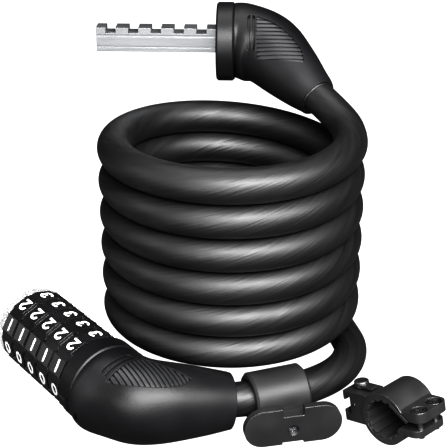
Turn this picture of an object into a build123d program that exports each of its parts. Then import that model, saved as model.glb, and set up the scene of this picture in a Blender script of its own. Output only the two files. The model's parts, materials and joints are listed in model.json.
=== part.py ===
from build123d import *
from math import cos, pi, radians, sin, tan
import os

# A coiled cable lock with a five-dial combination head, a toothed bolt head and its two bicycle
# brackets, lying ready on a table. Millimetres; z = 0 is the table top. Places are laid out from
# the axis of the coil, and every solid is moved by ORIGIN at the end, which puts the origin
# under the middle of the rigid parts.
ORIGIN = Vector(7.153, 3.890, 0)

# Cable and coil
CABLE_R = 6.0
COIL_R = 41.08  # from the coil's axis to the middle of the cable
TURN = 12.13  # from turn to turn
FRONT_TURN_Z = 24.7  # middle of the lowest turn at the front
FULL_TURNS = 5
RING_R = 6.09  # rings of the coil's solid, which just touch
WEB = 5.0
LAST_TURN_Z = 6.4  # the last turn lies on the table at the back
COIL_TOP_START = 35.0  # degrees round the coil, where the highest turn clears the lead
LEAD_GAP = 0.3  # between the coil's solid and the lead that rises with the bolt head

LOWER_ROUTE = [
    Vector(5.6, -49.6, 10.4), Vector(25.0, -42.6, 10.3), Vector(38.6, -31.0, 9.7),
    Vector(44.6, -15.0, 9.2), Vector(41.6, 6.0, 8.4),
]
UPPER_ROUTE = [Vector(39.6, 11.3, 89.8), Vector(41.3, -4.0, 86.0)]
BEND_R = 60.0
HOLDS_CABLE = {  # each lead, and what is moulded or closed round it
    "cable_lead_lower": ["lock_housing", "lock_ferrule", "clamp_cover", "clamp_base", "clamp_liner"],
    "cable_lead_upper": ["pin_housing", "pin_ferrule", "neck_ring"],
}

# Both heads
COLLAR_CHAMFER = 0.7
COLLAR_PROUD = 0.3  # of the elbow behind it
ELBOW_SECTIONS = 8
ELBOW_TAPER = 1.8
NECK_BORE = 22.0
LEAD_IN = 8.0  # of the cable inside the neck, up to its ferrule
CROSS_PIN_R = 1.5
CROSS_PIN_IN = 15.0
GRIP_DEPTH = 2.0
GRIP_SINK = 0.4  # the ribs end this far under the housing's surface
RIB_PITCH = 1.55
RIB_GROOVE = 0.65
RIB_DEPTH = 0.8
RIB_ROWS = 41
RIB_LENGTH = 64.0
RIB_MIDDLE = 16.0
SLOT_WIDTH = 2.8
SLOT_RIDGE = 0.9
SLOT_DEPTH = 0.9

# Dial head: X runs from the dial side of its collar towards the mouth
LOCK_R = 15.4
LOCK_COLLAR = 8.0
LOCK_AT = Vector(-45.9, -43.65, LOCK_R)
LOCK_TURN = 126.2
LOCK_CORNER = Vector(-34.6, -59.1, 15.4)
LOCK_NECK = Vector(-1.0, -50.4, 10.4)
LOCK_BEND_R = 16.0
LOCK_NECK_R = 9.7
LOCK_GRIP = [(24.3, 13.3), (23.4, 17.6), (9.3, 7.4), (10.9, -7.6)]
LOCK_GRIP_ARC = (18.0, -1.8)
LOCK_RIB_TURN = 36.5
LOCK_SLOT = (7.9, -1.2, 6.0, 12.0)  # its middle, its turn and its length
DIALS = 5
DIAL_PITCH = 8.6
DIAL_GAP = 0.3
DIAL_FLAT_R = 14.35
DIAL_EDGE_R = 14.8
STRIP_R = 14.3  # the flat strips between the digits' pads
STRIP_WIDTH = 2.8
DIGITS = 10
DIAL_TURN = 25.0  # of the digit that shows on top, in degrees from straight up
NOTCH = [(-1.0, -5.1), (-1.0, 5.1), (1.4, 2.9), (1.4, -2.9)]  # at each digit's collar side
NOTCH_FLOOR = 13.2
DIAL_BORE_R = 10.2
CODE_RING_LENGTH = 6.4
BARREL_R = 8.2
BARREL_BORE_R = 6.6
BARREL_TAIL = 6.0  # of the tube inside the housing, behind the collar
CAP_LENGTH = 4.0
CAP_RELIEF_R = 7.0
CAP_RELIEF = 1.0
RUNNING_FIT = 0.05
RESET_LENGTH = 2.9
RESET_R = 14.3
KNURLS = 72
KNURL_DEPTH = 0.45
MOUTH_LENGTH = 1.4
MOUTH_R = 11.0
INDEX_TURN = 97.0
INDEX_X = (-5.6, -0.7)
INDEX_WIDTH = 4.4
INDEX_PROUD = 0.7
INDEX_ROOT = 1.0
MARK_X = (-13.2, -8.4)  # a shallow recess in the housing behind the index mark
MARK_TURN = 100.0
MARK_WIDTH = 3.8
MARK_DEPTH = 0.8

# Bolt head: X runs from the front of its collar towards the bolt's tip
BOLT_R = 14.8
BOLT_COLLAR = 6.8
BOLT_AT = Vector(-5.3, 48.8, 107.0)
BOLT_TURN = 177.7
BOLT_CORNER = Vector(11.6, 47.9, 107.0)
BOLT_NECK = Vector(31.3, 21.7, 93.65)
BOLT_BEND_R = 19.0
BOLT_NECK_R = 7.4
BOLT_GRIP = [(8.2, 7.6), (8.4, -8.7), (25.8, -10.5), (25.2, -6.3)]
BOLT_GRIP_ARC = (18.4, 2.4)
BOLT_RIB_TURN = -9.5
BOLT_SLOT = (6.3, 1.1, 0.0, 14.0)
BOLT_FACING = Vector(0, -0.91, 0.42)
BOLT_LENGTH = 45.6
BOLT_WIDTH = 6.4
BOLT_BOTTOM = -3.5
BOLT_TOP = 3.7
TOOTH_TOP = 5.7
TOOTH_LENGTH = 4.8
TOOTH_START = -1.0
BOLT_TAIL = 9.0
BOLT_GROOVES = [(2.6, 0.8), (-1.7, 0.6)]  # height of each side groove, and its width
GROOVE_DEPTH = 0.5
GROOVE_START = 0.6
NECK_RING_LENGTH = 0.5
NECK_RING_R = 6.8

# Cable bracket: X runs along the cable, -Y towards the tongue, which is set at its own turn
CLAMP_AT = Vector(15.0, -46.2, 10.35)
CLAMP_TURN = 20.0
CLAMP_LENGTH = 19.6
CLAMP_R = 9.2
CLAMP_BEVEL = 0.8
LINER_R = 6.9
LINER_INSET = 0.6
CLAMP_SPLIT = -4.1
TONGUE_AT = Vector(16.3, -46.5, 0)
TONGUE_TURN = 12.0
TONGUE_LENGTH = 33.6
TONGUE_HEIGHT = 13.7
TONGUE_THICK = 2.6
TONGUE_FRONT = -14.3
TONGUE_SHIFT = 1.3
NOTCH_WIDTH = 7.4
NOTCH_DEPTHS = (3.0, 0.85)  # of the notch in the upper edge and of the one in the lower edge
CLAMP_NECK_X = (-7.0, 7.0)
CLAMP_NECK_Z = (2.25, 10.05)
TONGUE_HOLE_R = 1.95
TONGUE_HOLE_Z = 5.25
TONGUE_HEAD_IN = 1.0
TONGUE_SHANK_R = 1.1
TONGUE_SHANK_END = 4.9
TONGUE_NUT_R = 2.2
TONGUE_NUT_START = 3.6
CROSS_ARM = 0.62  # of a screw head's radius
CROSS_WIDTH = 0.32
CROSS_DEPTH = 0.7

# Frame bracket: X runs along its bore, Y from the ears towards the slot
FRAME_AT = Vector(50.15, -59.73, 9.25)
FRAME_TURN = 43.2
FRAME_TILT = -13.0
FRAME_LENGTH = 16.2
FRAME_R = 9.2
FRAME_BORE_R = 7.7
LAND_R = 6.4
LINER_NOTCHES = 14
LINER_NOTCH_R = 7.1
LINER_NOTCH_WIDTH = 1.1
EAR_X = (0.3, 15.0)
UPPER_EAR = (1.5, 4.95, -16.3)  # its bottom and top, and how far out it reaches
LOWER_EAR = (-4.1, -1.7, -14.6)
EAR_ROOT = -4.0
EAR_CORNER = 3.2
TAB_TURN = 52.0  # where the liner leaves the bore, in degrees above the gap between the ears
TAB_LENGTH = 7.4
TAB_THICK = 1.1
TAB_RELIEF = (-2.5, 1.1)
SLOT_X = (0.3, 9.5)
SLOT_Y = (7.0, 17.3)
SLOT_Z = (-4.2, 6.8)
CAVITY_Y = (14.5, 16.4)
CAVITY_Z = (-1.6, 5.0)
OPENING_Z = (-0.2, 3.6)
FRAME_SCREW_R = 1.0
SCREW_SEAT_R = 2.9
SCREW_SEAT = 1.2
SCREW_HEAD_R = 2.3
SCREW_HEAD = 1.0
SCREW_OUT = 0.8  # of its tip, below the lower ear
FRAME_SCREW_X = (3.3, 11.1)
FRAME_SCREW_Y = -13.0
POCKET = ((3.4, 7.8), (11.2, 14.0), (0.9, 8.0))
WINDOW = ((4.1, 7.1), (13.5, 15.0), (3.3, 5.0))
PIVOT_Y = 12.8
PIVOT_Z = 2.3
PIVOT_R = 0.55
PIVOT_X = (0.15, 9.2)
STEM = ((4.0, 7.2), (11.8, 13.8), (1.3, 7.4))
CATCH = ((4.4, 6.8), (13.5, 15.4), (3.6, 4.6))
LEVER = ((3.3, 6.7), (6.6, 13.0), (7.6, 8.5))
KNOB_AT = (5.6, 13.0)
KNOB_R = 2.6
KNOB_Z = (7.3, 9.4)
KNOB_ROUND = 0.6


def rod(radius, start, end):
    """A cylinder along X."""
    return Pos((start + end) / 2, 0, 0) * Rot(0, 90, 0) * Cylinder(radius, end - start)


def tube(outer, inner, start, end):
    return rod(outer, start, end) - rod(inner, start - 1, end + 1)


def block(x, y, z):
    """A box from its three pairs of limits."""
    size = [pair[1] - pair[0] for pair in (x, y, z)]
    middle = [(pair[1] + pair[0]) / 2 for pair in (x, y, z)]
    return Pos(*middle) * Box(*size)


def upright(radius, bottom, top):
    return Pos(0, 0, (bottom + top) / 2) * Cylinder(radius, top - bottom)


def frame_of(at, turn, tilt=0):
    return Pos(*at) * Rot(0, 0, turn) * Rot(tilt, 0, 0)


def towards(origin, direction):
    """A place whose Z runs along a direction."""
    return Plane(origin=origin, z_dir=direction).location


def cable(points, radius_wanted):
    """A tube along straight runs with an arc at each of the route's corners."""
    radii = []
    for before, here, after in zip(points, points[1:], points[2:]):
        one, two = here - before, after - here
        half = radians(one.get_angle(two)) / 2
        radii.append(min(radius_wanted, 0.45 * min(one.length, two.length) / tan(half)))
    path = FilletPolyline(*points, radius=radii)
    solid = sweep(Plane(origin=path @ 0, z_dir=path % 0) * Circle(CABLE_R), path=path)
    bends = [round(radius, 1) for radius in radii]
    print("lead", round(path.length, 1), "mm long, bent at", bends)
    print("  volume", round(solid.volume), "against", round(pi * CABLE_R**2 * path.length))
    return solid


# ---- the heads' housings ----

def collar_back(head, further=0.0):
    return (head["frame"] * Pos(-head["collar"] - further, 0, 0)).position


def elbow(head, thinner=0.0):
    """The bent, tapering shell of a head, from the back of its collar to the end of its neck."""
    back = collar_back(head)
    path = FilletPolyline(back, head["corner"], head["neck"], radius=head["bend_r"])
    start_r = head["radius"] - COLLAR_PROUD
    sections = []
    for step in range(ELBOW_SECTIONS + 1):
        t = step / ELBOW_SECTIONS
        radius = head["neck_r"] + (start_r - head["neck_r"]) * (1 - t**ELBOW_TAPER) - thinner
        direction = path % t if step else collar_back(head, 1) - back
        sections.append(Plane(origin=path @ t, z_dir=direction) * Circle(radius))
    return loft(sections)


def grip_plane(head):
    """X runs into the elbow from the back of the collar, and Z out of the face of a grip."""
    back = collar_back(head)
    inward = collar_back(head, 1) - back
    facing = head["facing"] - inward * inward.dot(head["facing"])
    return Plane(origin=back, x_dir=inward, z_dir=facing)


def housing_and_grips(head):
    """The housing with a recess on each side, and a ribbed grip that fills each one."""
    shell = elbow(head)
    core = elbow(head, GRIP_DEPTH)
    skin = elbow(head, GRIP_SINK)
    rib_floor = elbow(head, GRIP_SINK + RIB_DEPTH)
    slot_floor = elbow(head, SLOT_DEPTH)
    side = grip_plane(head)
    corners = head["grip"]
    outline = make_face(Polyline(*corners) + ThreePointArc(corners[-1], head["grip_arc"], corners[0]))
    x, y, turn, length = head["slot"]
    slot = RectangleRounded(SLOT_WIDTH, length, 0.45 * SLOT_WIDTH) - Rectangle(SLOT_RIDGE, length)
    slot = Pos(x, y) * Rot(0, 0, turn) * slot
    rows = []
    for place in GridLocations(1, RIB_PITCH, 1, RIB_ROWS):
        rows.append(place * Rectangle(RIB_LENGTH, RIB_GROOVE))
    grooves = Rot(0, 0, head["rib_turn"]) * Pos(RIB_MIDDLE, 0) * Sketch(children=rows)
    grips = []
    for way in (1, -1):
        reach = 2 * head["radius"] * way
        prism = extrude(side * outline, reach)
        shell = shell - (prism - core) - (extrude(side * slot, reach) - slot_floor)
        ribbed = (prism & skin) - (extrude(side * (outline & grooves), reach) - rib_floor)
        grips.append(max((ribbed - core).solids(), key=lambda solid: solid.volume))
    return shell, grips


def neck_parts(head):
    """The ferrule that is swaged on the cable inside the neck, and its cross pin."""
    out = (head["neck"] - head["corner"]).normalized()
    place = towards(head["neck"], out)
    bore = place * upright(CABLE_R, -NECK_BORE, 1)
    ferrule = place * upright(CABLE_R, -NECK_BORE, -LEAD_IN)
    across = towards(head["neck"] - out * CROSS_PIN_IN, grip_plane(head).z_dir)
    pin = across * upright(CROSS_PIN_R, -head["neck_r"], head["neck_r"])
    return bore, ferrule - pin, pin


def collar(head):
    ring = rod(head["radius"], -head["collar"], 0)
    return chamfer(ring.edges().filter_by(GeomType.CIRCLE), COLLAR_CHAMFER)


def make_head(head, tail):
    """Housing, collar, grips, ferrule and cross pin; tail is what the collar is bored for."""
    shell, grips = housing_and_grips(head)
    bore, ferrule, pin = neck_parts(head)
    name, frame = head["name"], head["frame"]
    return {
        name + "_housing": shell - bore - pin - frame * tail,
        name + "_collar": frame * (collar(head) - tail),
        name + "_grip_upper": grips[0] - pin,
        name + "_grip_lower": grips[1] - pin,
        name + "_ferrule": ferrule,
        name + "_cross_pin": pin,
    }


# ---- the dial head ----

def dial():
    """A ten-sided dial and its code ring, with a raised pad and a notch at each digit."""
    length = DIAL_PITCH - DIAL_GAP
    outline = Rot(0, 0, 180 / DIGITS) * RegularPolygon(DIAL_FLAT_R, DIGITS, major_radius=False)
    outline = (outline & Circle(DIAL_EDGE_R)) - Circle(DIAL_BORE_R)
    notch = extrude(make_face(Polyline(*NOTCH, close=True)), DIAL_EDGE_R)
    for digit in range(DIGITS):
        strip = Pos(STRIP_R + STRIP_WIDTH / 2, 0) * Rectangle(STRIP_WIDTH, STRIP_WIDTH)
        outline = outline - Rot(0, 0, (digit + 0.5) * 360 / DIGITS) * strip
    ring = Rot(0, 90, 0) * extrude(outline, length)
    for digit in range(DIGITS):
        ring = ring - Rot(digit * 360 / DIGITS, 0, 0) * Pos(0, 0, NOTCH_FLOOR) * notch
    start = (length - CODE_RING_LENGTH) / 2
    sleeve = tube(DIAL_BORE_R, BARREL_R + RUNNING_FIT, start, start + CODE_RING_LENGTH)
    return Rot(-DIAL_TURN, 0, 0) * ring, sleeve


def reset_ring(front):
    """The knurled ring at the mouth."""
    profile = []
    for tooth in range(2 * KNURLS):
        radius = RESET_R - KNURL_DEPTH * (tooth % 2)
        turn = radians(tooth * 180 / KNURLS)
        profile.append((radius * cos(turn), radius * sin(turn)))
    knurled = extrude(make_face(Polyline(*profile, close=True)), RESET_LENGTH)
    ring = Pos(front, 0, 0) * Rot(0, 90, 0) * knurled
    return ring - rod(BARREL_R + RUNNING_FIT, front - 1, front + RESET_LENGTH + 1)


def dial_head():
    frame = frame_of(LOCK_AT, LOCK_TURN)
    head = {
        "name": "lock", "frame": frame, "radius": LOCK_R, "collar": LOCK_COLLAR,
        "corner": LOCK_CORNER, "neck": LOCK_NECK, "bend_r": LOCK_BEND_R, "neck_r": LOCK_NECK_R,
        "grip": LOCK_GRIP, "grip_arc": LOCK_GRIP_ARC, "facing": Vector(0, 0, 1),
        "rib_turn": LOCK_RIB_TURN, "slot": LOCK_SLOT,
    }
    tail_end = -LOCK_COLLAR - BARREL_TAIL
    cap_end = tail_end - CAP_LENGTH
    parts = make_head(head, rod(BARREL_R, cap_end, 1))
    ring_at = DIALS * DIAL_PITCH + DIAL_GAP
    mouth = ring_at + RESET_LENGTH + DIAL_GAP
    barrel = rod(BARREL_R, tail_end, mouth) + rod(MOUTH_R, mouth, mouth + MOUTH_LENGTH)
    parts["barrel_tube"] = frame * (barrel - rod(BARREL_BORE_R, tail_end - 1, mouth + 5))
    cap = rod(BARREL_R, cap_end, tail_end) - rod(CAP_RELIEF_R, tail_end - CAP_RELIEF, tail_end + 1)
    parts["barrel_cap"] = frame * cap
    wheel, sleeve = dial()
    for number in range(DIALS):
        place = frame * Pos(number * DIAL_PITCH + DIAL_GAP / 2, 0, 0)
        parts[f"dial_{number + 1}"] = place * wheel
        parts[f"code_ring_{number + 1}"] = place * sleeve
    parts["reset_ring"] = frame * reset_ring(ring_at)
    across = (-INDEX_WIDTH / 2, INDEX_WIDTH / 2)
    mark = block(INDEX_X, across, (LOCK_R - INDEX_ROOT, LOCK_R + INDEX_PROUD))
    mark = chamfer(mark.edges().group_by(Axis.Z)[-1], INDEX_PROUD - 0.1)
    parts["index_mark"] = frame * Rot(-INDEX_TURN, 0, 0) * mark
    parts["lock_collar"] = parts["lock_collar"] - parts["index_mark"]
    across = (-MARK_WIDTH / 2, MARK_WIDTH / 2)
    recess = Rot(-MARK_TURN, 0, 0) * block(MARK_X, across, (LOCK_R - MARK_DEPTH, LOCK_R + 1))
    parts["lock_housing"] = parts["lock_housing"] - frame * recess
    return parts


# ---- the bolt head ----

def bolt():
    """The notched steel bar: a row of teeth on top, and two grooves along each side."""
    half = BOLT_WIDTH / 2
    bar = block((-BOLT_COLLAR - BOLT_TAIL, BOLT_LENGTH), (-half, half), (BOLT_BOTTOM, BOLT_TOP))
    for number in range(DIALS + 1):
        start = TOOTH_START + number * DIAL_PITCH
        end = min(start + TOOTH_LENGTH, BOLT_LENGTH)
        bar = bar + block((start, end), (-half, half), (BOLT_TOP - 1, TOOTH_TOP))
    run = (GROOVE_START, BOLT_LENGTH + 1)
    for height, width in BOLT_GROOVES:
        cut = block(run, (-GROOVE_DEPTH, GROOVE_DEPTH), (-width / 2, width / 2))
        for side in (-1, 1):
            bar = bar - Pos(0, side * half, height) * cut
    return bar


def bolt_head():
    frame = frame_of(BOLT_AT, BOLT_TURN)
    head = {
        "name": "pin", "frame": frame, "radius": BOLT_R, "collar": BOLT_COLLAR,
        "corner": BOLT_CORNER, "neck": BOLT_NECK, "bend_r": BOLT_BEND_R, "neck_r": BOLT_NECK_R,
        "grip": BOLT_GRIP, "grip_arc": BOLT_GRIP_ARC, "facing": BOLT_FACING,
        "rib_turn": BOLT_RIB_TURN, "slot": BOLT_SLOT,
    }
    half = BOLT_WIDTH / 2
    parts = make_head(head, block((-BOLT_COLLAR - BOLT_TAIL, 1), (-half, half), (BOLT_BOTTOM, TOOTH_TOP)))
    parts["lock_bolt"] = frame * bolt()
    out = (BOLT_NECK - BOLT_CORNER).normalized()
    parts["neck_ring"] = towards(BOLT_NECK, out) * upright(NECK_RING_R, 0, NECK_RING_LENGTH)
    return parts


# ---- the cable ----

def turns(levels, start, end):
    """Rings of cable one above another, as one solid, from one angle to another round the coil."""
    low, high = min(levels), max(levels)
    profile = Pos(COIL_R, (low + high) / 2) * Rectangle(WEB, high - low)
    for level in levels:
        profile = profile + Pos(COIL_R, level) * Circle(RING_R)
    return Rot(0, 0, start) * revolve(Plane.XZ * profile, Axis.Z, end - start)


def cables():
    half_turn = TURN / 2
    levels = [FRONT_TURN_Z + TURN * number for number in range(FULL_TURNS)]
    coil = turns(levels, 0, 360)
    coil = coil + turns([levels[-1], levels[-1] + TURN], 180, 360)
    coil = coil + turns([levels[-1], levels[-1] + half_turn], COIL_TOP_START, 180)
    coil = coil + turns([LAST_TURN_Z, levels[0] - TURN, levels[0]], 0, 180)
    lower_start = LOCK_NECK - (LOCK_NECK - LOCK_CORNER).normalized() * LEAD_IN
    upper_start = BOLT_NECK - (BOLT_NECK - BOLT_CORNER).normalized() * LEAD_IN
    lower = cable([lower_start, *LOWER_ROUTE], BEND_R)
    upper = cable([upper_start, *UPPER_ROUTE], BEND_R)
    side = 4 * COIL_R
    behind = block((0, side), (0, side), (-side, side))
    front = block((-side, side), (-side, LEAD_GAP), (-side, side))
    return {
        "cable_coil": coil,
        "cable_lead_lower": lower - behind,
        "cable_lead_upper": upper - front,
    }


# ---- the cable bracket ----

def cable_bracket():
    """A two-part ring on the cable, with a notched tongue on the front of its lower part."""
    clamp = frame_of(CLAMP_AT, CLAMP_TURN)
    tongue = frame_of(TONGUE_AT, TONGUE_TURN)
    half = CLAMP_LENGTH / 2
    ring = rod(CLAMP_R, -half, half)
    ring = chamfer(ring.edges().filter_by(GeomType.CIRCLE), CLAMP_BEVEL)
    ring = clamp * (ring - rod(LINER_R, -half - 1, half + 1))
    above = clamp * block((-half, half), (-CLAMP_R, CLAMP_R), (CLAMP_SPLIT, CLAMP_R))
    plate = SlotOverall(TONGUE_LENGTH, TONGUE_HEIGHT)
    for edge, depth in zip((1, -1), NOTCH_DEPTHS):
        plate = plate - Pos(0, edge * TONGUE_HEIGHT / 2) * Rectangle(NOTCH_WIDTH, 2 * depth)
    facing = Pos(TONGUE_SHIFT, TONGUE_FRONT, 0) * Rot(-90, 0, 0)
    plate = facing * Pos(0, -TONGUE_HEIGHT / 2, 0) * extrude(plate, TONGUE_THICK)
    neck = block(CLAMP_NECK_X, (TONGUE_FRONT + TONGUE_THICK, -LINER_R / 2), CLAMP_NECK_Z)
    neck = tongue * neck - clamp * rod(LINER_R, -2 * half, 2 * half)
    neck = neck - (clamp * rod(CLAMP_R, -half, half) & above)
    hole = tongue * facing * Pos(0, -TONGUE_HOLE_Z, 0)
    screw = upright(TONGUE_HOLE_R, TONGUE_HEAD_IN, TONGUE_THICK)
    screw = screw + upright(TONGUE_SHANK_R, TONGUE_THICK, TONGUE_SHANK_END)
    screw = hole * (screw - cross(TONGUE_HOLE_R, TONGUE_HEAD_IN))
    nut_length = TONGUE_SHANK_END - TONGUE_NUT_START
    nut_space = hole * Pos(0, 0, TONGUE_NUT_START) * extrude(RegularPolygon(TONGUE_NUT_R, 6), nut_length)
    base = (ring - above) + neck + tongue * plate
    base = base - hole * upright(TONGUE_HOLE_R, -1, TONGUE_THICK) - screw - nut_space
    return {
        "clamp_cover": ring & above,
        "clamp_base": base,
        "clamp_liner": clamp * rod(LINER_R, LINER_INSET - half, half - LINER_INSET),
        "tongue_screw": screw,
        "tongue_nut": nut_space - screw,
    }


def cross(radius, top):
    """The recess for a cross-head driver, about the height of a screw head's face."""
    arm, width = 2 * CROSS_ARM * radius, CROSS_WIDTH * radius
    return Pos(0, 0, top) * (Box(arm, width, 2 * CROSS_DEPTH) + Box(width, arm, 2 * CROSS_DEPTH))


# ---- the frame bracket ----

def frame_shell():
    """A split ring with two ears on one side, and a slotted block with a latch on the other."""
    through = (-1, FRAME_LENGTH + 1)
    shell = rod(FRAME_R, 0, FRAME_LENGTH)
    for bottom, top, reach in (UPPER_EAR, LOWER_EAR):
        ear = block(EAR_X, (reach, EAR_ROOT), (bottom, top))
        corners = ear.edges().filter_by(Axis.Z).group_by(Axis.Y)[0]
        shell = shell + fillet(corners, EAR_CORNER)
    shell = shell + block(SLOT_X, SLOT_Y, SLOT_Z)
    shell = shell - block(through, CAVITY_Y, CAVITY_Z)
    shell = shell - block(through, (CAVITY_Y[0], SLOT_Y[1] + 1), OPENING_Z)
    shell = shell - rod(FRAME_BORE_R, *through)
    shell = shell - block(through, (-2 * FRAME_R, 0), (LOWER_EAR[1], UPPER_EAR[0]))
    shell = shell - tab_place() * block(through, (-TAB_LENGTH, 1), TAB_RELIEF)
    return shell - block(*POCKET) - block(*WINDOW)


def tab_place():
    """Where the liner leaves the bore in a straight tab; -Y runs along the tab."""
    middle_r = (FRAME_BORE_R + LAND_R) / 2
    return Rot(-TAB_TURN, 0, 0) * Pos(0, -middle_r, 0) * Rot(90, 0, 0)


def frame_liner():
    """The notched liner, split at the ears' gap; its upper end runs straight into the gap."""
    through = (-1, FRAME_LENGTH + 1)
    reach = 2 * FRAME_R
    liner = tube(FRAME_BORE_R, LAND_R, 0, FRAME_LENGTH)
    notch = block(through, (-LINER_NOTCH_WIDTH / 2, LINER_NOTCH_WIDTH / 2), (0, LINER_NOTCH_R))
    for number in range(LINER_NOTCHES):
        liner = liner - Rot(number * 360 / LINER_NOTCHES, 0, 0) * notch
    past_tab = tab_place() * block(through, (-reach, 0), (-reach, reach))
    liner = liner - (past_tab & block(through, (-reach, 0), (LOWER_EAR[1], reach)))
    return liner + tab_place() * block((0, FRAME_LENGTH), (-TAB_LENGTH, 0), (-TAB_THICK / 2, TAB_THICK / 2))


def release_latch():
    knob = Pos(*KNOB_AT, 0) * upright(KNOB_R, *KNOB_Z)
    knob = fillet(knob.edges().group_by(Axis.Z)[-1], KNOB_ROUND)
    latch = block(*STEM) + block(*CATCH) + block(*LEVER) + knob
    return latch - Pos(0, PIVOT_Y, PIVOT_Z) * rod(PIVOT_R + RUNNING_FIT, *PIVOT_X)


def frame_bracket():
    frame = frame_of(FRAME_AT, FRAME_TURN, FRAME_TILT)
    pin = Pos(0, PIVOT_Y, PIVOT_Z) * rod(PIVOT_R, *PIVOT_X)
    shell = frame_shell() - pin
    seat = UPPER_EAR[1] - SCREW_SEAT
    shank = upright(FRAME_SCREW_R, LOWER_EAR[0] - SCREW_OUT, seat)
    screw = shank + upright(SCREW_HEAD_R, seat, seat + SCREW_HEAD) - cross(SCREW_HEAD_R, seat + SCREW_HEAD)
    parts = {}
    for number, x in enumerate(FRAME_SCREW_X, 1):
        place = Pos(x, FRAME_SCREW_Y, 0)
        shell = shell - place * (shank + upright(SCREW_SEAT_R, seat, UPPER_EAR[1] + 1))
        parts[f"frame_screw_{number}"] = frame * place * screw
    parts["frame_clamp_body"] = frame * shell
    parts["frame_liner"] = frame * frame_liner()
    parts["latch_pin"] = frame * pin
    parts["release_latch"] = frame * release_latch()
    return parts


# ---- everything ----

parts = {**dial_head(), **bolt_head(), **cables(), **cable_bracket(), **frame_bracket()}
for lead, around in HOLDS_CABLE.items():
    for name in around:
        parts[name] = parts[name] - parts[lead]
os.makedirs("parts", exist_ok=True)
rigid = [solid for name, solid in parts.items() if not name.startswith("cable_")]
bounds = Compound(children=[Pos(*ORIGIN) * solid for solid in rigid]).bounding_box()
print("rigid parts from", bounds.min, "to", bounds.max)
for name, solid in parts.items():
    moved = Pos(*ORIGIN) * solid
    export_step(moved, f"parts/{name}.step")
    print(f"{name:18s} {len(moved.solids())} solid {moved.volume:9.1f} mm3 valid {moved.is_valid}")
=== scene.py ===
import bpy
import json
from math import cos, pi, radians, sin
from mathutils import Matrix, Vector

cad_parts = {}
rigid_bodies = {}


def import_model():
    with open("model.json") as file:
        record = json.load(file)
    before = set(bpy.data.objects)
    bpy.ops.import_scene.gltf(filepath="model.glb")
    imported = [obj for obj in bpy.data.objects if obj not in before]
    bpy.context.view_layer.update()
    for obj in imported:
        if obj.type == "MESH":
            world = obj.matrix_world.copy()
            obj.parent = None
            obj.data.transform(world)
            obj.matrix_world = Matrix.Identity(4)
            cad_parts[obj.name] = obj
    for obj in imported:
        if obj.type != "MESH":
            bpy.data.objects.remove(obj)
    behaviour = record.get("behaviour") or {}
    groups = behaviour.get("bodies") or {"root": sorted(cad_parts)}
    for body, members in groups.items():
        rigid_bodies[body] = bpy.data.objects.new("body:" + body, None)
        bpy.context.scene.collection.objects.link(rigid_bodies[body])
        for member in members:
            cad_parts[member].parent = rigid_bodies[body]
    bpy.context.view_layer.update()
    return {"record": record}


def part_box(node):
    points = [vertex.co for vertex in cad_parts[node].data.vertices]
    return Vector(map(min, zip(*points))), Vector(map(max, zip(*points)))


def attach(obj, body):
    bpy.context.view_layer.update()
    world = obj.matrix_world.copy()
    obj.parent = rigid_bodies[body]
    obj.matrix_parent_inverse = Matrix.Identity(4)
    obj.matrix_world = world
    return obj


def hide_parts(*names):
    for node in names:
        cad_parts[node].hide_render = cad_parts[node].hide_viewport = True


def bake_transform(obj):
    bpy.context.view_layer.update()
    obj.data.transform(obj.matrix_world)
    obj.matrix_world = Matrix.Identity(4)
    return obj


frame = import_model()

MM = 0.001
RECORD = frame["record"]
JOINTS = {joint["name"]: joint for joint in RECORD["behaviour"]["joints"]}


def middle(node):
    low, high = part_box(node)
    return (low + high) / 2


COIL = Vector((middle("cable_coil").x, middle("cable_coil").y, 0))  # the coil's axis, on the table


def spot(x, y, z):
    """A place in millimetres from the coil's axis and the table."""
    return COIL + Vector((x, y, z)) * MM


# ---------------------------------------------------------------- camera, lights and table

CAMERA_AT = spot(-2.65, -393.7, 235.3)
CAMERA_TO = spot(-2.65, 0, 53.1)
LENS = 96.35

HEART = (0, 0, 55)
SOFTBOXES = [  # name, place and aim in millimetres, size in metres, watts
    ("key", (170, -430, 430), HEART, (0.62, 0.26), 15.5),
    ("top", (-40, 60, 620), HEART, (0.45, 0.30), 1.8),
    ("left", (-520, -160, 300), HEART, (0.20, 0.40), 0.8),
    ("low", (-70, -280, 100), (-30, -60, 20), (0.24, 0.08), 0.45),
    ("side", (-230, 30, 35), (-65, -15, 15), (0.10, 0.05), 0.012),
]
WORLD_CAST = 0.01  # what the white surroundings add to the light

TABLE_SIZE = 8
TABLE_Z = -0.0004
SHADOW_REACH = (0.08, 0.2)  # metres from the coil's axis, over which the shadow fades out
SHADOW_KEPT = (0.93, 1.0)  # the share of plain white at either end of that reach


def point_at(obj, target):
    obj.rotation_euler = (target - obj.location).to_track_quat("-Z", "Y").to_euler()


def add_camera():
    data = bpy.data.cameras.new("camera")
    data.lens = LENS
    data.sensor_width = 36
    data.clip_start = 0.01
    obj = bpy.data.objects.new("camera", data)
    bpy.context.collection.objects.link(obj)
    obj.location = CAMERA_AT
    point_at(obj, CAMERA_TO)
    bpy.context.scene.camera = obj


def add_softbox(name, at, to, size, watts):
    data = bpy.data.lights.new(name, "AREA")
    data.shape = "RECTANGLE"
    data.size, data.size_y = size
    data.energy = watts
    obj = bpy.data.objects.new(name, data)
    bpy.context.collection.objects.link(obj)
    obj.location = spot(*at)
    point_at(obj, spot(*to))


def add_table():
    bpy.ops.mesh.primitive_plane_add(size=TABLE_SIZE, location=(COIL.x, COIL.y, TABLE_Z))
    table = bpy.context.object
    table.name = "table"
    table.data.materials.append(white_table())


def nodes_of(owner):
    """The emptied node tree of a material or a world."""
    owner.use_nodes = True
    tree = owner.node_tree
    tree.nodes.clear()
    return tree


def link(tree, source, target):
    tree.links.new(source, target)


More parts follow.
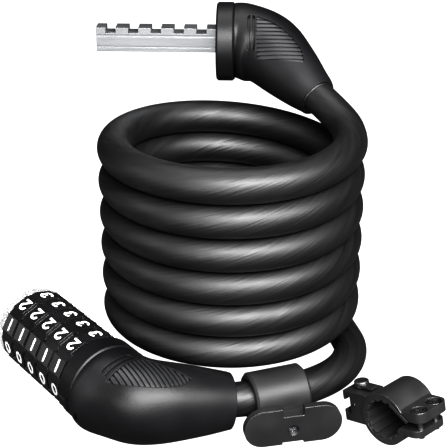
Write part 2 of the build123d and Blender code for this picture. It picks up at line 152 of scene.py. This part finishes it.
def white_table():
    """White to the camera, with a hint of shadow near the lock, and dark to what it lights."""
    material = bpy.data.materials.new("white_table")
    tree = nodes_of(material)
    out = tree.nodes.new("ShaderNodeOutputMaterial")
    diffuse = tree.nodes.new("ShaderNodeBsdfDiffuse")
    diffuse.inputs["Color"].default_value = (0.9, 0.9, 0.9, 1)
    glow = tree.nodes.new("ShaderNodeEmission")
    glow.inputs["Strength"].default_value = 1.0
    shown = tree.nodes.new("ShaderNodeMixShader")
    place = tree.nodes.new("ShaderNodeTexCoord")
    away = tree.nodes.new("ShaderNodeVectorMath")
    away.operation = "LENGTH"
    fade = tree.nodes.new("ShaderNodeMapRange")
    fade.inputs["From Min"].default_value = SHADOW_REACH[0]
    fade.inputs["From Max"].default_value = SHADOW_REACH[1]
    fade.inputs["To Min"].default_value = SHADOW_KEPT[0]
    fade.inputs["To Max"].default_value = SHADOW_KEPT[1]
    link(tree, place.outputs["Object"], away.inputs[0])
    link(tree, away.outputs["Value"], fade.inputs["Value"])
    link(tree, fade.outputs[0], shown.inputs[0])
    link(tree, diffuse.outputs[0], shown.inputs[1])
    link(tree, glow.outputs[0], shown.inputs[2])
    dim = tree.nodes.new("ShaderNodeBsdfDiffuse")
    dim.inputs["Color"].default_value = (0.04, 0.04, 0.04, 1)
    path = tree.nodes.new("ShaderNodeLightPath")
    both = tree.nodes.new("ShaderNodeMixShader")
    link(tree, path.outputs["Is Camera Ray"], both.inputs[0])
    link(tree, dim.outputs[0], both.inputs[1])
    link(tree, shown.outputs[0], both.inputs[2])
    link(tree, both.outputs[0], out.inputs["Surface"])
    return material


def add_world():
    """White to the camera, and nearly dark to what it lights."""
    world = bpy.data.worlds.new("studio")
    bpy.context.scene.world = world
    tree = nodes_of(world)
    out = tree.nodes.new("ShaderNodeOutputWorld")
    path = tree.nodes.new("ShaderNodeLightPath")
    seen = tree.nodes.new("ShaderNodeBackground")
    seen.inputs["Color"].default_value = (1, 1, 1, 1)
    seen.inputs["Strength"].default_value = 1.0
    cast = tree.nodes.new("ShaderNodeBackground")
    cast.inputs["Color"].default_value = (1, 1, 1, 1)
    cast.inputs["Strength"].default_value = WORLD_CAST
    both = tree.nodes.new("ShaderNodeMixShader")
    link(tree, path.outputs["Is Camera Ray"], both.inputs[0])
    link(tree, cast.outputs[0], both.inputs[1])
    link(tree, seen.outputs[0], both.inputs[2])
    link(tree, both.outputs[0], out.inputs["Surface"])


def light_the_set():
    for softbox in SOFTBOXES:
        add_softbox(*softbox)
    view = bpy.context.scene.view_settings
    view.view_transform = "Standard"
    view.look = "High Contrast"


# ---------------------------------------------------------------- materials

class Shader:
    """A Principled material, with short ways to add nodes to it."""

    def __init__(self, name, colour, roughness, metallic=0.0, shine=0.5):
        self.material = bpy.data.materials.new(name)
        self.tree = nodes_of(self.material)
        out = self.add("ShaderNodeOutputMaterial")
        self.base = self.add("ShaderNodeBsdfPrincipled")
        self.base.inputs["Base Color"].default_value = (*colour, 1)
        self.base.inputs["Roughness"].default_value = roughness
        self.base.inputs["Metallic"].default_value = metallic
        self.base.inputs["Specular IOR Level"].default_value = shine
        self.join(self.base.outputs[0], out.inputs["Surface"])

    def add(self, kind, **settings):
        node = self.tree.nodes.new(kind)
        for key, value in settings.items():
            setattr(node, key, value)
        return node

    def join(self, source, target):
        link(self.tree, source, target)

    def place(self, scale=(1, 1, 1), attribute=None):
        mapping = self.add("ShaderNodeMapping")
        mapping.inputs["Scale"].default_value = scale
        if attribute:
            source = self.add("ShaderNodeAttribute", attribute_name=attribute)
            self.join(source.outputs["Vector"], mapping.inputs["Vector"])
        else:
            source = self.add("ShaderNodeTexCoord")
            self.join(source.outputs["Object"], mapping.inputs["Vector"])
        return mapping.outputs[0]

    def noise(self, place, scale, detail, rough=0.5):
        node = self.add("ShaderNodeTexNoise")
        node.inputs["Scale"].default_value = scale
        node.inputs["Detail"].default_value = detail
        node.inputs["Roughness"].default_value = rough
        self.join(place, node.inputs["Vector"])
        return node.outputs["Fac"]

    def spread(self, value, low, high):
        """Noise, which mostly keeps between 0.3 and 0.7, spread from low to high."""
        node = self.add("ShaderNodeMapRange")
        node.inputs["From Min"].default_value = 0.3
        node.inputs["From Max"].default_value = 0.7
        node.inputs["To Min"].default_value = low
        node.inputs["To Max"].default_value = high
        self.join(value, node.inputs["Value"])
        return node.outputs[0]

    def tint(self, value, dark, light):
        node = self.add("ShaderNodeMix", data_type="RGBA")
        node.inputs["A"].default_value = (*dark, 1)
        node.inputs["B"].default_value = (*light, 1)
        self.join(value, node.inputs["Factor"])
        self.join(node.outputs["Result"], self.base.inputs["Base Color"])

    def bump(self, value, height, normal=None):
        node = self.add("ShaderNodeBump")
        node.inputs["Distance"].default_value = height
        self.join(value, node.inputs["Height"])
        if normal:
            self.join(normal, node.inputs["Normal"])
        return node.outputs[0]

    def rounded(self, radius):
        node = self.add("ShaderNodeBevel", samples=4)
        node.inputs["Radius"].default_value = radius
        return node.outputs[0]

    def finish(self, normal, roughness):
        self.join(normal, self.base.inputs["Normal"])
        self.join(roughness, self.base.inputs["Roughness"])
        return self.material


def moulded(name, colour, roughness, grain=2200, height=0.00004, edge=0.0003, shine=0.5):
    """Moulded plastic: fine grain, uneven sheen and edges that catch the light."""
    shader = Shader(name, colour, roughness, shine=shine)
    place = shader.place()
    fine = shader.noise(place, grain, 4)
    broad = shader.noise(place, 60, 2)
    shader.tint(shader.spread(broad, 0, 1), [c * 0.8 for c in colour], [c * 1.25 for c in colour])
    sheen = shader.spread(broad, roughness - 0.05, roughness + 0.06)
    return shader.finish(shader.bump(fine, height, shader.rounded(edge)), sheen)


def steel(name, colour, roughness, along=(1, 1, 1), edge=0.00025):
    """Drawn steel, with fine lines along one way."""
    shader = Shader(name, colour, roughness, metallic=1.0)
    lines = shader.noise(shader.place(along), 900, 4)
    sheen = shader.spread(lines, roughness - 0.08, roughness + 0.12)
    return shader.finish(shader.bump(lines, 0.00001, shader.rounded(edge)), sheen)


def sheath():
    """Satin vinyl over twisted strands, which show as faint slanting streaks."""
    shader = Shader("cable_sheath", (0.006, 0.006, 0.0065), 0.45)
    strands = shader.noise(shader.place(attribute="lay"), 6.5, 3, 0.6)
    wide = shader.noise(shader.place(attribute="lay"), 2.2, 2)
    dust = shader.noise(shader.place(), 1500, 3)
    shader.tint(shader.spread(strands, 0, 1), (0.002, 0.002, 0.0022), (0.006, 0.006, 0.0063))
    sheen = shader.spread(wide, 0.44, 0.54)
    slanting = shader.bump(strands, 0.00014)
    return shader.finish(shader.bump(dust, 0.000012, slanting), sheen)


def make_materials():
    return {
        "housing": moulded("housing_plastic", (0.005, 0.005, 0.0055), 0.42, shine=0.28),
        "grip": moulded("grip_plastic", (0.015, 0.015, 0.016), 0.36, grain=1500, edge=0.0002),
        "dial": moulded("dial_plastic", (0.007, 0.007, 0.0075), 0.3, grain=900, shine=0.7),
        "bracket": moulded("bracket_plastic", (0.01, 0.01, 0.0105), 0.36, edge=0.00035, shine=1.0),
        "saddle": moulded("saddle_plastic", (0.013, 0.013, 0.0135), 0.5, edge=0.00035, shine=0.35),
        "liner": moulded("liner_rubber", (0.014, 0.014, 0.014), 0.5, shine=0.3),
        "digit": moulded("digit_paint", (0.82, 0.82, 0.82), 0.4, height=0.00001, edge=0.0001),
        "steel": steel("bolt_steel", (0.26, 0.265, 0.27), 0.45, along=(0.05, 1, 1)),
        "bright": steel("bright_ring", (0.95, 0.95, 0.95), 0.5),
        "dark_steel": steel("screw_steel", (0.16, 0.16, 0.165), 0.35),
        "cable": sheath(),
    }


MATERIAL_OF_SLOT = {
    "housing_plastic": "housing", "grip_plastic": "grip", "dial_plastic": "dial", "steel": "steel",
    "bright_ring": "bright", "cable_sheath": "cable", "bracket_plastic": "bracket",
    "liner_rubber": "liner", "screw_steel": "dark_steel",
}
MATERIAL_OF_NODE = {"neck_ring": "dark_steel", "clamp_cover": "saddle"}


def dress_nodes(materials):
    for entry in RECORD["subparts"]:
        obj = bpy.data.objects[entry["node"]]
        usual = MATERIAL_OF_SLOT[entry["material_slot"]]
        material = materials[MATERIAL_OF_NODE.get(entry["node"], usual)]
        for holder in obj.material_slots:
            holder.material = material


# ---------------------------------------------------------------- the cable

CABLE_R = 6.0 * MM
CABLE_SIDES = 40
STRAND_TWIST = 62.0  # radians of the strands' twist in each metre of cable
LAY_RUN = 9  # how far the "lay" pattern moves on in each metre of cable

COIL_R = 41.08  # these and the points below are in millimetres, for the middle of the cable
TURN = 12.13  # height of one turn
TILT = 0.95  # how far each turn keeps level at the front and makes up for it at the back
COIL_TOP = 88.4
TURNS = 6
PER_TURN = 16  # control points in a turn
LAST_DROP = 5.2  # how much the last half turn falls below the others' slope,
LAST_DIP = 7.8  # and how much further it dips on its way
LOWER_LEAD = [
    (-8.66, -52.38, 11.54), (5.6, -49.6, 10.4), (25.0, -42.6, 10.3), (38.6, -31.0, 9.7),
    (44.6, -15.0, 9.2),
]
UPPER_LEAD = [(42.0, -3.5, 86.7), (39.6, 11.3, 89.8), (26.85, 27.62, 96.67)]


def coil_height(turn):
    """Height of the cable's middle, after so many turns down from the top right."""
    angle = -2 * pi * turn
    height = COIL_TOP + TURN * angle / (2 * pi) + TILT * TURN / (2 * pi) * sin(angle - pi / 2)
    last = min(max(2 * (turn - TURNS) + 1, 0), 1)
    return height - LAST_DROP * last * last * (3 - 2 * last) - LAST_DIP * sin(pi * last)


def cable_line():
    """The cable's smooth line, from the dial head to the bolt head, as points."""
    points = [spot(*place) for place in LOWER_LEAD]
    radius = COIL_R / (0.75 + 0.25 * cos(2 * pi / PER_TURN))  # the line runs inside its points
    for step in range(TURNS * PER_TURN, 0, -1):
        turn = step / PER_TURN
        angle = -2 * pi * turn
        points.append(spot(radius * cos(angle), radius * sin(angle), coil_height(turn)))
    points += [spot(*place) for place in UPPER_LEAD]
    curve = bpy.data.curves.new("cable_line", "CURVE")
    curve.dimensions = "3D"
    spline = curve.splines.new("NURBS")
    spline.points.add(len(points) - 1)
    for place, point in zip(points, spline.points):
        point.co = (*place, 1)
    spline.order_u = 3
    spline.use_endpoint_u = True
    curve.resolution_u = 12
    obj = bpy.data.objects.new("cable_line", curve)
    bpy.context.collection.objects.link(obj)
    bpy.context.view_layer.update()
    mesh = bpy.data.meshes.new_from_object(obj)
    line = [vertex.co.copy() for vertex in mesh.vertices]
    bpy.data.objects.remove(obj)
    bpy.data.meshes.remove(mesh)
    return line


def frames_along(line):
    """For each point of a line: the way ahead, and two ways across that don't spin about it."""
    frames = []
    side = Vector((0, 0, 1))
    for index, here in enumerate(line):
        before = line[max(index - 1, 0)]
        after = line[min(index + 1, len(line) - 1)]
        ahead = (after - before).normalized()
        side = (side - ahead * side.dot(ahead)).normalized()
        frames.append((ahead, side, ahead.cross(side)))
    return frames


def new_piece(name, mesh, material, body=None, smooth=True):
    obj = bpy.data.objects.new(name, mesh)
    bpy.context.collection.objects.link(obj)
    mesh.materials.append(material)
    for face in mesh.polygons:
        face.use_smooth = smooth
    if body:
        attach(obj, body)
    return obj


def add_cable(material):
    line = cable_line()
    mesh = bpy.data.meshes.new("cable")
    points, faces, lay = [], [], []
    run = 0.0
    for index, (here, (ahead, up, side)) in enumerate(zip(line, frames_along(line))):
        run += (here - line[index - 1]).length if index else 0
        for step in range(CABLE_SIDES):
            angle = 2 * pi * step / CABLE_SIDES
            points.append(here + (up * cos(angle) + side * sin(angle)) * CABLE_R)
            twisted = angle + STRAND_TWIST * run
            lay.append((cos(twisted), sin(twisted), LAY_RUN * run))
    rings = len(line)
    for ring in range(rings - 1):
        for step in range(CABLE_SIDES):
            a = ring * CABLE_SIDES + step
            b = ring * CABLE_SIDES + (step + 1) % CABLE_SIDES
            faces.append((a, b, b + CABLE_SIDES, a + CABLE_SIDES))
    faces.append(tuple(reversed(range(CABLE_SIDES))))
    faces.append(tuple(range((rings - 1) * CABLE_SIDES, rings * CABLE_SIDES)))
    mesh.from_pydata(points, [], faces)
    mesh.update()
    attribute = mesh.attributes.new("lay", "FLOAT_VECTOR", "POINT")
    attribute.data.foreach_set("vector", [value for place in lay for value in place])
    cable = new_piece("cable", mesh, material)
    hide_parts("cable_coil", "cable_lead_lower", "cable_lead_upper")
    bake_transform(cable)


# ---------------------------------------------------------------- the tongue

TONGUE_AT = spot(16.3, -46.5, 0)
TONGUE_TURN = radians(12)
TONGUE_FACES = (-14.3, -11.7)  # its front and its back
NOTCH_X = (-2.4, 5.0)
UPPER_NOTCH_Z = (10.7, 14.5)
LOWER_FILL_Z = (0.85, 3.2)
FILL_OVERLAP = 0.4  # how far the fill reaches into the tongue's sides
CUT_BEYOND = 1  # how far the cut reaches past its faces


def brick(x, y, z):
    """A plain block in the tongue's own frame, from its limits in millimetres."""
    corners = [Vector((a, b, c)) * MM for a in x for b in y for c in z]
    faces = [(0, 1, 3, 2), (4, 6, 7, 5), (0, 4, 5, 1), (2, 3, 7, 6), (0, 2, 6, 4), (1, 5, 7, 3)]
    mesh = bpy.data.meshes.new("brick")
    mesh.from_pydata(corners, [], faces)
    obj = bpy.data.objects.new("brick", mesh)
    bpy.context.collection.objects.link(obj)
    obj.rotation_euler.z = TONGUE_TURN
    obj.location = TONGUE_AT
    return obj


def add_tongue(material):
    """The clamp's lower part, with its tongue's deep notch moved to the upper edge."""
    source = bpy.data.objects["clamp_base"]
    piece = bpy.data.objects.new("clamp_base_shown", source.data.copy())
    bpy.context.collection.objects.link(piece)
    piece.matrix_world = source.matrix_world
    left, right = NOTCH_X
    front, back = TONGUE_FACES
    fill = brick((left - FILL_OVERLAP, right + FILL_OVERLAP), TONGUE_FACES, LOWER_FILL_Z)
    cut = brick(NOTCH_X, (front - CUT_BEYOND, back + CUT_BEYOND), UPPER_NOTCH_Z)
    for tool, operation in ((fill, "UNION"), (cut, "DIFFERENCE")):
        change = piece.modifiers.new(operation.lower(), "BOOLEAN")
        change.object = tool
        change.operation = operation
        change.solver = "EXACT"
    bpy.context.view_layer.update()
    view = bpy.context.evaluated_depsgraph_get()
    shaped = bpy.data.meshes.new_from_object(piece.evaluated_get(view))
    piece.modifiers.clear()
    piece.data = shaped
    for tool in (fill, cut):
        bpy.data.objects.remove(tool)
    shaped.materials.clear()
    shaped.materials.append(material)
    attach(piece, "dial_head")
    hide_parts("clamp_base")


# ---------------------------------------------------------------- the digits

DIGIT_TALL = 1.975  # half the height of a digit's lines
DIGIT_WIDE = 1.425  # half their width
STROKE_R = 0.43  # half the width of a stroke
CORNER_MOST = 1.9  # the most that a sharp corner widens the stroke
ROUND_ENDS = (35, 65, 88)  # degrees round a stroke's end at which it has stations
SAME = 1e-6  # distance below which two places are one
PAINT = 0.05  # how far the paint reaches in and out from the pads
PAD_R = 14.35
DIGIT_SHIFT = 0.45  # from the middle of a dial towards the mouth
DIGIT_TURN = 97.0  # of the nought, in degrees from straight up towards the camera's side
DIGIT_STEP = 36.0
DIALS = 5


def bow(x, y, wide, tall, start, end, steps=14):
    """Points along part of an oval, in a digit's own unit square."""
    places = []
    for step in range(steps + 1):
        angle = radians(start + (end - start) * step / steps)
        places.append((x + wide * cos(angle), y + tall * sin(angle)))
    return places


SIX_BACK = [(0.7, 0.96), (0.15, 0.85), (-0.4, 0.5), (-0.82, 0.05), (-1.0, -0.42)]
SIX = [SIX_BACK + bow(0, -0.42, 1, 0.58, 180, -180, 20)]
STROKES = [
    [bow(0, 0, 1, 1, 90, 450, 24)],
    [[(0, -1), (0, 1)]],
    [bow(0, 0.42, 1, 0.58, 165, -25) + [(-1, -1), (1, -1)]],
    [bow(0, 0.5, 0.92, 0.5, 150, -90) + bow(0, -0.5, 1, 0.5, 90, -150)],
    [[(0.45, -1), (0.45, 1), (-1, -0.38), (1, -0.38)]],
    [[(0.85, 1), (-0.72, 1), (-0.85, 0.1)] + bow(0, -0.36, 1, 0.64, 125, -150)],
    SIX,
    [[(-1, 1), (1, 1), (-0.25, -1)]],
    [bow(0, 0.52, 0.85, 0.48, 90, 450, 20), bow(0, -0.48, 1, 0.52, 90, 450, 20)],
    [[(-x, -y) for x, y in SIX[0]]],
]


def stations(stroke):
    """Places along a stroke with its sideways direction and half width, rounded at the ends."""
    places = [Vector((x * DIGIT_WIDE, y * DIGIT_TALL)) for x, y in stroke]
    out = []
    for index, here in enumerate(places):
        ahead = places[min(index + 1, len(places) - 1)] - here
        behind = here - places[max(index - 1, 0)]
        one = (behind if behind.length > SAME else ahead).normalized()
        two = (ahead if ahead.length > SAME else behind).normalized()
        along = (one + two).normalized()
        corner = min(1 / max(along.dot(one), SAME), CORNER_MOST)
        out.append((here, Vector((-along.y, along.x)), STROKE_R * corner))
    if (places[0] - places[-1]).length < SAME:
        return out
    for end, way in ((0, -1), (-1, 1)):
        here, side, _ = out[end]
        along = Vector((side.y, -side.x)) * way
        for angle in ROUND_ENDS:
            reach = STROKE_R * sin(radians(angle))
            rounded = (here + along * reach, side, STROKE_R * cos(radians(angle)))
            out = [rounded] + out if way < 0 else out + [rounded]
    return out


def add_digits(number, material):
    """All ten digits of one dial, as thin raised paint on its pads."""
    joint = JOINTS[f"dial_{number}_turn"]
    axis = Vector(joint["axis"])
    heart = Vector(joint["pos_m"]) + axis * DIGIT_SHIFT * MM
    outward = Vector((0, 0, 1)).cross(axis)
    points, faces = [], []
    for digit, strokes in enumerate(STROKES):
        turn = radians(DIGIT_TURN - DIGIT_STEP * digit)
        normal = Vector((0, 0, 1)) * cos(turn) + outward * sin(turn)
        up = Vector((0, 0, -1)) * sin(turn) + outward * cos(turn)
        for stroke in strokes:
            first = len(points)
            row = stations(stroke)
            for here, side, half in row:
                for way in (1, -1):
                    place = here + side * half * way
                    across = axis * place.x + up * place.y
                    for radius in (PAD_R - PAINT, PAD_R + PAINT):
                        points.append(heart + (across + normal * radius) * MM)
            for index in range(len(row) - 1):
                a = first + 4 * index
                for one, two in ((0, 1), (1, 3), (3, 2), (2, 0)):  # round the stroke's section
                    faces.append((a + one, a + two, a + 4 + two, a + 4 + one))
            last = first + 4 * (len(row) - 1)
            faces.append((first, first + 2, first + 3, first + 1))
            faces.append((last, last + 1, last + 3, last + 2))
    name = f"dial_{number}_digits"
    mesh = bpy.data.meshes.new(name)
    mesh.from_pydata(points, [], faces)
    mesh.update()
    digits = new_piece(name, mesh, material, f"dial_wheel_{number}", smooth=False)


# ---------------------------------------------------------------- the whole scene

add_camera()
add_world()
add_table()
light_the_set()
MATERIALS = make_materials()
dress_nodes(MATERIALS)
add_cable(MATERIALS["cable"])
add_tongue(MATERIALS["bracket"])
for number in range(1, DIALS + 1):
    add_digits(number, MATERIALS["digit"])
